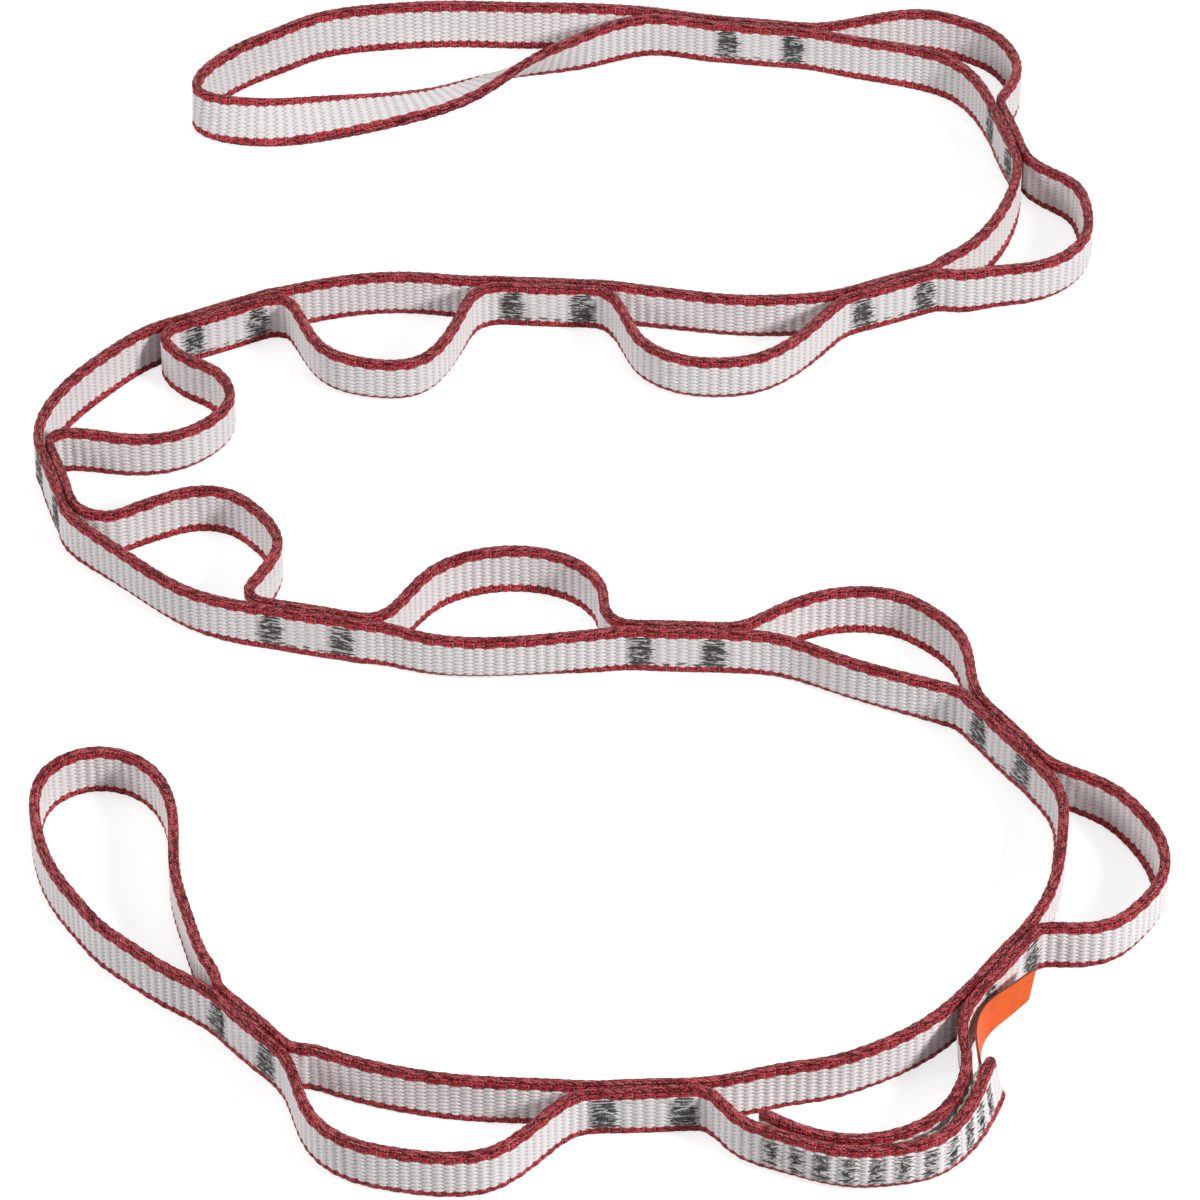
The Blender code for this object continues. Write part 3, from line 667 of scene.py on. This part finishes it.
def threadMaterial(name, look):
    graph = Graph(name)
    along, number = graph.numbers("weave")
    spot = graph.add("ShaderNodeTexCoord", None, None, 3)
    chance = graph.add("ShaderNodeTexWhiteNoise", {"noise_dimensions": "1D"},
                       {"W": graph.sum("FLOOR", number)})
    # plies of the thread wind round it
    ply = along * 3.0 + number * 2.0
    ply = ply - graph.sum("FLOOR", ply)
    ply = 1.0 - 4.0 * (ply - 0.5) * (ply - 0.5)
    grain = graph.noise(spot, 1300.0, 2.0)
    # painted shade: darker between the thread's plies, with random tone per strand and grain
    tone = graph.ease(ply * 0.25 + chance * 0.6 + grain * 0.7, 0.55, 1.15)
    colour = graph.colours(tone, look["deep"], look["tone"])
    # glints: painted highlights in the pale colour
    glint = graph.ease(chance * 0.8 + grain * 0.8 + ply * 0.15, 0.93, 1.12)
    colour = graph.colours(glint, colour, look["pale"])
    return graph.fabric(colour, look["rough"], ply, 0.8, 0.00006, {"Sheen Weight": 0.1})


threadFinish = threadMaterial("greyThread", thread)
paleThread = {
    "tone": (0.88, 0.81, 0.68, 1),
    # pale: the colour of the painted glints
    "pale": (0.95, 0.92, 0.84, 1),
    # deep: painted shade between the plies, also reached by random tone
    "deep": (0.42, 0.35, 0.27, 1),
    "rough": 0.6,
}
paleFinish = threadMaterial("paleThread", paleThread)


def bodyOf(pocket):
    return "link_%02d" % pocket


# the plies of the eleven pockets
lap = {
    "pocket": 10,
    # the outer ply leans out at its free end and tucks its foot in towards the sewn end
    "outer": {"rows": [(0, 0.08, -0.2), (10, 0.05, -0.14), (30, -0.12, 0), (55, -0.18, 0),
                       (72, -0.10, 0), (80, 0, 0)], "below": -3},
    # the inner ply's foot stands out where the label comes up
    "inner": {"rows": [(6, 0, 0), (20, 0.008, 0), (36, 0.008, 0), (50, 0, 0)],
              "below": 6.0},
}
# the long loop leans outwards on its far side and round its end
loopStance = {"rows": [(8, 0, 0), (40, 0.03, -0.16), (90, 0.03, -0.18), (130, 0, -0.16),
                       (165, 0, 0)], "below": -3}
# how far each ply's foot curls to its left, mm per squared mm below a height over its middle
curls = {
    "pocket": [-0.12, -0.18, -0.20, -0.26, -0.18, -0.10, -0.10, -0.12, -0.18, -0.20, -0.06],
    "back": [-0.08, 0.12, -0.12, -0.08, 0.10, 0.16, 0.30, 0.18, -0.15, -0.10, 0.0],
    "below": -3,
}
for k in range(1, 12):
    for side, word, points in ((1, "pocket", routes["pocket"]), (-1, "back", routes["back"])):
        if side == 1 and k == lap["pocket"]:
            continue
        walk = plyWalk(k, side, points[k - 1])
        stance = bowed(walk["walked"][-1], curls[word][k - 1], curls["below"])
        grid, marks = ribbonGrid(walk, k % 2, webbing, outer=(side, side), stance=stance)
        piece = shellPiece("%s_web_%02d" % (word, k), [grid], [marks], webbingFinish)
        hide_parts("%s_ply_%02d" % (word, k))
        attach(piece, bodyOf(k))

# the lap: the strip's two ends, one over the other
outerCurve = smoothRoute(shifted(routes["outerEnd"]), routes["pocket"][lap["pocket"] - 1],
                         plyPoint(11, -routes["straight"], 1), heading(routes["outerEnd"][2]),
                         tackFrame(11)[1])
outerWalk = walkAlong(np.concatenate([outerCurve, [plyPoint(11, -routes["barAt"], 1)]]))
innerCurve = smoothRoute(plyPoint(10, routes["straight"], 1), routes["inner"],
                         shifted(routes["innerEnd"]), tackFrame(10)[1],
                         heading(routes["innerEnd"][2]))
innerWalk = walkAlong(np.concatenate([[plyPoint(10, routes["barAt"], 1)], innerCurve]))
for word, walk, node, sides, free in (
        ("outer", outerWalk, "pocket_ply_10", (0, 1), (True, False)),
        ("inner", innerWalk, "lap_ply_10", (1, 0), (False, True))):
    grid, marks = ribbonGrid(walk, 0, webbing, outer=sides, stance=lap[word], freeEnds=free)
    piece = shellPiece("lap_web_" + word, [grid], [marks], webbingFinish)
    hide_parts(node)
    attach(piece, "link_10")

# end loops
twistAt = np.array(routes["twist"])
twistStart = routes["straight"] - routes["barAt"]


def longRoll(lengths):
    # the roll read from the table and averaged
    total = 0.0
    for away in nearby:
        total = total + np.interp(lengths - twistStart + away, twistAt[:, 0], twistAt[:, 1])
    return np.radians(total / len(nearby))


def loopWalk(number, way, points):
    # from one ply of an end tack, round the loop and back to the other ply
    ahead = way * tackFrame(number)[1]
    first, last = [plyPoint(number, way * routes["straight"], side) for side in (1, -1)]
    curve = smoothRoute(first, points, last, ahead, -ahead)
    first, last = [plyPoint(number, way * routes["barAt"], side) for side in (1, -1)]
    return walkAlong(np.concatenate([[first], curve, [last]]))


for word, number, way, sides, roll, stance in (("long", 1, -1, (-1, 1), longRoll, loopStance),
                                               ("short", 12, 1, (1, 1), None, None)):
    walk = loopWalk(number, way, routes[word + "Loop"])
    grid, marks = ribbonGrid(walk, 0, webbing, roll=roll, outer=sides, stance=stance)
    piece = shellPiece("end_loop_web_" + word, [grid], [marks], webbingFinish)
    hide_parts("end_loop_" + word)
    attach(piece, "end_" + word)
print("webbing: pockets, lap and end loops")


# tacks: the doubled stretch between two bars, baked in place
linePoints = 40


def tackBodies(number):
    before = "end_long" if number == 1 else bodyOf(number - 1)
    after = "end_short" if number == 12 else bodyOf(number)
    return before, after


def bendAtTack(piece, number):
    middle, along = tackFrame(number)[:2]
    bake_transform(piece)


for k in range(1, 13):
    grids = []
    marks = []
    for side in (1, -1):
        start = plyPoint(k, -routes["barAt"], side)
        end = plyPoint(k, routes["barAt"], side)
        line = start + np.linspace(0, 1, linePoints)[:, None] * (end - start)
        grid, mark = ribbonGrid(walkAlong(line), (k - 1) % 2, webbing, outer=(side, side),
                                calm=webbing["calm"], press=webbing["plyGap"] / 2)
        grids.append(grid)
        marks.append(mark)
    piece = shellPiece("tack_web_%02d" % k, grids, marks, webbingFinish)
    bendAtTack(piece, k)
print("webbing: twelve tacks")


# bars of stitching
bar = {
    "half": 2.6,  # mm from a bar's middle to where the short strands stop
    "teeth": 3.5,  # to the tips of the long strands
    "height": 8.0,
    "strandPitch": 0.42,
    "strandHalf": 0.25,  # half width of a strand
    "strandDepth": 0.19,
    "proud": 0.15,  # a strand's middle above the webbing's face
    "dip": 0.06,  # how far a strand's tips sink
    "rings": 6,
    "sides": 5,
    "blunt": 0.45,  # power that shapes a strand's girth
    # the base layer: least and most reach as shares, most distance off the middle, most slant
    "reach": (0.82, 1.05),
    "offMiddle": 0.12,
    "slant": 0.15,
    # the layers over it: height over it and share of its strands, then the same for their strands
    "overLayers": ((0.1, 1.0), (0.2, 0.6)),
    "overReach": (0.3, 0.7),
    "overOffMiddle": 0.6,
    "overSlant": (0.1, 0.55),
    "overUneven": (-0.03, 0.05),
}


def strandGrid(middle, rise, reach, slant, proud, size):
    # Closed spindles: at t from -1 to 1 along each strand its girth is 1 - t^2 raised to the power
    # blunt, and its middle line dips as t^4, so that both tips sink into the webbing. Returns the
    # place along, the place across, the height over the face and the pattern's two numbers.
    t = 0.995 * np.sin(np.linspace(-1, 1, size["rings"]) * math.pi / 2)
    turn = np.arange(size["sides"]) / size["sides"] * 2 * math.pi
    girth = ((1 - t**2) ** size["blunt"])[None, :, None]
    shape = (len(middle), size["rings"], size["sides"])
    t = t[None, :, None]
    turn = turn[None, None, :]
    along = np.broadcast_to(middle[:, None, None] + reach[:, None, None] * t, shape)
    across = rise[:, None, None] + slant[:, None, None] * t
    across = across + size["strandHalf"] * girth * np.cos(turn)
    over = proud[:, None, None] - size["dip"] * t**4 + size["strandDepth"] * girth * np.sin(turn)
    serial = np.broadcast_to(np.arange(len(middle))[:, None, None] + 0.15 * turn, shape)
    return along, across, over, np.stack([along, serial], -1)


def barStrands(size, seed):
    # a base layer of long and short strands in turn, and two layers of shorter slanted ones over it
    draw = np.random.default_rng(seed)
    half = size["half"]
    rows = int(size["height"] / size["strandPitch"])
    rise = (np.arange(rows) - (rows - 1) / 2) * size["strandPitch"]
    long = np.mod(np.arange(rows) + seed, 2) == 0
    reach = np.where(long, size["teeth"], half) * draw.uniform(*size["reach"], rows)
    middle = draw.uniform(-size["offMiddle"], size["offMiddle"], rows) * half
    slant = draw.uniform(-size["slant"], size["slant"], rows)
    layers = [(middle, rise, reach, slant, np.full(rows, size["proud"]))]
    for level, share in size["overLayers"]:
        count = int(share * (rows - 2))
        riseOver = draw.uniform(rise[1], rise[-2], count)
        reachOver = draw.uniform(*size["overReach"], count) * half
        middleOver = draw.uniform(-size["overOffMiddle"], size["overOffMiddle"], count) * half
        slantOver = draw.uniform(*size["overSlant"], count) * draw.choice([-1, 1], count)
        proudOver = size["proud"] + level + draw.uniform(*size["overUneven"], count)
        layers.append((middleOver, riseOver, reachOver, slantOver, proudOver))
    return [np.concatenate(part) for part in zip(*layers)]


plyFace = webbing["thick"] + webbing["plyGap"] / 2  # outer faces of a doubled stretch


def onTack(number, spot, along, across, face, side):
    # puts strand points on one outer face of a tack, from a spot on its middle line
    ahead, left = tackFrame(number)[1:]
    xy = spot + side * along[..., None] * ahead + side * face[..., None] * left
    return np.concatenate([xy, webbing["width"] / 2 + across[..., None]], -1)


for k in range(1, 13):
    middle, ahead = tackFrame(k)[:2]
    before, after = tackBodies(k)
    for where, word, body in ((-1, "in", before), (1, "out", after)):
        spot = middle + where * routes["barAt"] * ahead
        grids = []
        marks = []
        for side in (1, -1):
            strands = barStrands(bar, 100 * k + 10 * where + side)
            along, across, over, pattern = strandGrid(*strands, bar)
            face = plyFace + over - webbing["pinch"] * fade(along, webbing["pinchReach"])
            grids.append(onTack(k, spot, along, across, face, side))
            marks.append(pattern)
        piece = shellPiece("bar_stitches_%02d_%s" % (k, word), grids, marks, threadFinish)
        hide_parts("bar_%02d_%s" % (k, word))
        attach(piece, body)
print("stitching: 24 bars")


# the thread that runs from bar to bar, dipping in and out of the webbing
runThread = {
    "rise": 3.45,
    "half": 0.17,
    "dip": 0.2,
    "steps": 60,
    "sides": 6,
    "ribsPerWave": 1.5,
    "drift": 0.18,  # how far it strays up and down
    "driftTurn": 0.9,  # radians per mm
    "upper": (11,),  # tacks whose run is along the upper side
}


def runGrid(lengths, rise, size, phase):
    # a thin tube whose middle line waves in and out of the face with the ribs
    turn = np.arange(size["sides"]) / size["sides"] * 2 * math.pi
    wave = np.sin(2 * math.pi * lengths / webbing["ribPitch"] / size["ribsPerWave"] + phase)
    over = size["dip"] * wave[:, None] - 0.5 * size["dip"] + size["half"] * np.sin(turn)
    drift = size["drift"] * np.sin(lengths * size["driftTurn"] + phase)
    across = rise + drift[:, None] + size["half"] * np.cos(turn)
    along = np.broadcast_to(lengths[:, None], over.shape)
    return along, across, over


for k in range(1, 13):
    middle = tackFrame(k)[0]
    rise = runThread["rise"] * (1 if k in runThread["upper"] else -1)
    lengths = np.linspace(-routes["barAt"] + 1, routes["barAt"] - 1, runThread["steps"])
    grids = []
    marks = []
    for side in (1, -1):
        along, across, over = runGrid(lengths, rise, runThread, 1.3 * k + side)
        grids.append(onTack(k, middle, along, across, plyFace + over, side))
        marks.append(np.stack([along, np.full(along.shape, 7.0 * k)], -1))
    piece = shellPiece("tack_thread_%02d" % k, grids, marks, threadFinish)
    bendAtTack(piece, k)


# lap stitching: narrow bars over both plies, pale thread between them
lapSew = {
    "count": 11,
    "first": 7.6,
    "pitch": 5.7,
    "search": 7.0,
    "crossings": 6,  # bars whose thread shows between the plies
    "crossingAt": 0.15,  # in pitches past the bar
    "loose": (3, 37),  # pale strands wander along the gap between these lengths
    "nearing": ((12, 34), (1, 0.2)),  # lengths and shares of their distance from the ply
    "sway": 0.3,  # how far they wander up and down
    "swayTurn": 1.1,  # radians per mm
}
lapBar = {**bar, "half": 1.35, "teeth": 2.15, "strandPitch": 0.74}


def onFace(walk, at, along, across, over, side):
    # puts strand points on one face of a ply, following its curve and its stance
    lengths = at + side * along
    place, turn = onWalk(walk, lengths)
    normal = np.stack([-np.sin(turn), np.cos(turn)], -1)
    stance = lap["outer"] if walk is outerWalk else lap["inner"]
    over = side * over + stanceShift(lengths, across, stance)
    xy = place + over[..., None] * normal
    return np.concatenate([xy, webbing["width"] / 2 + across[..., None]], -1)


grids = []
marks = []
for i in range(lapSew["count"]):
    at = lapSew["first"] + i * lapSew["pitch"]
    place, turn = onWalk(outerWalk, np.array([at]))
    ahead = np.array([math.cos(turn[0]), math.sin(turn[0])])
    gap = innerWalk["place"] - place[0]
    beside = np.abs(gap @ ahead)
    beside[np.linalg.norm(gap, axis=1) > lapSew["search"]] = lapSew["search"]
    match = innerWalk["walked"][np.argmin(beside)]
    for walk, where, side in ((outerWalk, at, 1), (innerWalk, match, -1)):
        strands = barStrands(lapBar, 1000 + 10 * i + side)
        along, across, over, pattern = strandGrid(*strands, lapBar)
        over = over + webbing["thick"] / 2
        grids.append(onFace(walk, where, along, across, over, side))
        marks.append(pattern)
runSpan = (lapSew["count"] - 1) * lapSew["pitch"]
lengths = np.linspace(lapSew["first"], lapSew["first"] + runSpan, 200)
along, across, over = runGrid(lengths, -runThread["rise"], runThread, 0.4)
grids.append(onFace(outerWalk, 0.0, along, across, over + webbing["thick"] / 2, 1)[None])
marks.append(np.stack([along, np.full(along.shape, 3.0)], -1)[None])
piece = shellPiece("lap_stitches", grids, marks, threadFinish)
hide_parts("lap_stitching")
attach(piece, "link_10")

# the pale thread between the lap's plies: lumps where it crosses, and strands along the gap
lump = {
    "strandHalf": 0.4,
    "strandDepth": 0.28,
    "dip": 0.2,
    "rings": 7,
    "sides": 6,
    "blunt": 0.45,
    "levels": (3.6, 1.2, -1.6),
    "perLevel": 2,
    "proud": 0.1,
    # least and most place along, height over the level, reach, slant and distance from the ply
    "spread": ((-0.6, 0.6), (-0.4, 0.4), (1.3, 1.9), (-0.3, 0.3), (0.1, 0.3)),
}
# height, distance from the ply and phase of the strands along the gap
looseStrands = ((5.3, 0.45, 0.3), (5.0, 0.75, 2.1), (4.5, 0.4, 4.0))
looseThread = {**runThread, "half": 0.26, "dip": 0.25}
draw = np.random.default_rng(41)
grids = []
marks = []
for i in range(lapSew["crossings"]):
    at = lapSew["first"] + (i + lapSew["crossingAt"]) * lapSew["pitch"]
    for level in lump["levels"]:
        strands = [draw.uniform(least, most, lump["perLevel"]) for least, most in lump["spread"]]
        strands[1] += level
        along, across, over, pattern = strandGrid(*strands, lump)
        grids.append(onFace(outerWalk, at, along, across, over + webbing["thick"] / 2 + lump["proud"], -1))
        marks.append(pattern)
lengths = np.linspace(*lapSew["loose"], 120)
for level, away, phase in looseStrands:
    along, across, over = runGrid(lengths, level, looseThread, phase)
    across = across + lapSew["sway"] * np.sin(lengths * lapSew["swayTurn"] + phase)[:, None]
    over = over + webbing["thick"] / 2 + away * np.interp(lengths, *lapSew["nearing"])[:, None]
    grids.append(onFace(outerWalk, 0.0, -along, across, over, -1)[None])
    marks.append(np.stack([along, np.full(along.shape, 20.0 + phase)], -1)[None])
piece = shellPiece("lap_inner_threads", grids, marks, paleFinish)
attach(piece, "link_10")
print("stitching: lap and runs")


# tape label
tape = {
    "thick": 0.5,
    "bottom": 0.8,
    "height": 9.2,
    "tilt": 0.15,  # its upper edge leans to the left at the root
    "footLift": 0.9,  # mm that its lower edge has risen by the tip
    "rows": 22,
    "rings": 80,
    "edge": 0.45,  # share of its thickness at both edges
    "slant": 0.05,  # share of the length cut off the tip's foot
    "belly": 0.12,
    "jump": 1.2,  # added to the pattern along the left of the upper edge
    "darkLine": (10.4, 10.5),  # the pattern's number where the dark line along that edge begins
    "pivotSpan": (-164, -157),
    "colour": (0.83, 0.13, 0.018, 1),
    "shade": (0.70, 0.095, 0.012, 1),
    "dark": (0.045, 0.03, 0.022, 1),
}


def tapeMaterial(look):
    graph = Graph("orangeTape")
    along, level = graph.numbers("weave")
    weft = graph.sum("SINE", level * 14.0)
    warp = graph.sum("SINE", along * 16.0)
    wrinkle = graph.noise(graph.point(along * 0.1, level * 0.07, 0.0), 2.0, 3.0)
    tone = graph.ease(wrinkle + 0.05 * weft * warp, 0.25, 0.62)
    colour = graph.colours(tone, look["shade"], look["colour"])
    colour = graph.colours(graph.ease(level, *look["darkLine"]), colour, look["dark"])
    return graph.fabric(colour, 0.5, weft * warp, 0.4, 0.00003, {"Specular IOR Level": 0.2})


def labelGrid(size):
    # An upright band along the label's route. Its section is a flat oval, and its free end is cut
    # on a slant, shorter at the foot.
    curve = smoothRoute(shifted(routes["labelRoot"]), routes["label"], shifted(routes["labelTip"]),
                        heading(routes["labelRoot"][2]), heading(routes["labelTip"][2]))
    walk = walkAlong(curve)
    rows = size["rows"]
    share = np.linspace(0, 1, size["rings"])
    half = size["thick"] / 2
    face = np.linspace(0, 1, rows)
    level = np.concatenate([face, face[::-1]])
    side = np.concatenate([-np.ones(rows), np.ones(rows)])
    side[[0, rows - 1, rows, -1]] *= size["edge"]
    length = walk["walked"][-1]
    cut = 1.0 - size["slant"] * (1 - level)
    lengths = share[:, None] * length * (1 - (1 - cut) * share[:, None] ** 6)
    place, turn = onWalk(walk, lengths)
    normal = np.stack([-np.sin(turn), np.cos(turn)], -1)
    belly = size["belly"] * np.sin(math.pi * level) * np.sin(math.pi * share)[:, None]
    lean = size["tilt"] * (1 - share[:, None] ** 2) * (level - 0.5) * size["height"]
    xy = place + (side * half + belly + lean)[..., None] * normal
    lift = size["footLift"] * share[:, None] ** 2 * (1 - level)
    z = size["bottom"] + level * size["height"] + lift
    grid = np.concatenate([xy, z[..., None]], -1)
    # the pattern's second number jumps where the left side meets the upper edge
    marks = np.stack([lengths, z + (side < 0) * (level == 1) * size["jump"]], -1)
    return grid, marks


grid, marks = labelGrid(tape)
piece = shellPiece("tape_label", [grid], [marks], tapeMaterial(tape))
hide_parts("label")
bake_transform(piece)
print("label")


# floor, world and soft lamps
studio = {
    "floorHalf": 3.0,
    "floorDrop": 0.0004,  # metres under the CAD's lowest point, clear of the woven edges
    "floorColour": (0.5, 0.5, 0.5, 1),
    "floorLift": (0.75, 0.75, 0.75, 1),  # extra white that only the camera sees
    "world": 0.11,
    "lamps": {
        "softRight": {"at": (1.22, -0.84, 0.98), "size": 0.3, "power": 25.0},
        "softLeft": {"at": (-1.36, -0.34, 0.80), "size": 0.8, "power": 13.0},
        "softAbove": {"at": (0, 0.5, 1.60), "size": 0.9, "power": 2.0},
        "softBehind": {"at": (0.25, 1.40, 0.50), "size": 0.9, "power": 8.0},
    },
}


def seenRays(graph):
    # 1 for rays from the camera, and for mirrored and see-through ones
    camera, glossy, through = [graph.add("ShaderNodeLightPath", None, None, name)
                               for name in ("Is Camera Ray", "Is Glossy Ray", "Is Transmission Ray")]
    return graph.sum("MAXIMUM", graph.sum("MAXIMUM", camera, glossy), through)


def makeFloor(look):
    graph = Graph("paleFloor")
    lift = graph.colours(seenRays(graph), (0, 0, 0, 1), look["floorLift"])
    shader = graph.add("ShaderNodeBsdfPrincipled", None,
                       {"Base Color": look["floorColour"], "Roughness": 0.9, "Emission Color": lift,
                        "Emission Strength": 1.0, "Specular IOR Level": 0.1})
    material = graph.finish(shader)
    half = look["floorHalf"]
    mesh = bpy.data.meshes.new("floor")
    corners = [(x * half, y * half, 0) for x, y in ((-1, -1), (1, -1), (1, 1), (-1, 1))]
    mesh.from_pydata(corners, [], [(0, 1, 2, 3)])
    mesh.materials.append(material)
    floor = bpy.data.objects.new("floor", mesh)
    floor.location.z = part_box("back_ply_06")[0].z - look["floorDrop"]
    bpy.context.scene.collection.objects.link(floor)


def makeWorld(look):
    world = bpy.data.worlds.new("studioWorld")
    bpy.context.scene.world = world
    graph = Graph("studioWorld", world)
    lit, shown = [graph.add("ShaderNodeBackground", None, {"Color": (1, 1, 1, 1), "Strength": strength})
                  for strength in (look["world"], 1.0)]
    both = graph.add("ShaderNodeMixShader", None, {0: seenRays(graph), 1: lit, 2: shown})
    graph.finish(both, "ShaderNodeOutputWorld")


def makeLamps(look):
    for name, lamp in look["lamps"].items():
        data = bpy.data.lights.new(name, "AREA")
        data.shape = "SQUARE"
        data.size = lamp["size"]
        data.energy = lamp["power"]
        item = bpy.data.objects.new(name, data)
        item.location = lamp["at"]
        # aimed at the middle of the floor
        x, y, z = lamp["at"]
        item.rotation_euler = (math.atan2(math.hypot(x, y), z), 0.0, math.atan2(-y, -x) - math.pi / 2)
        bpy.context.scene.collection.objects.link(item)


makeFloor(studio)
makeWorld(studio)
makeLamps(studio)
bpy.context.scene.view_settings.view_transform = "Standard"
print("studio")
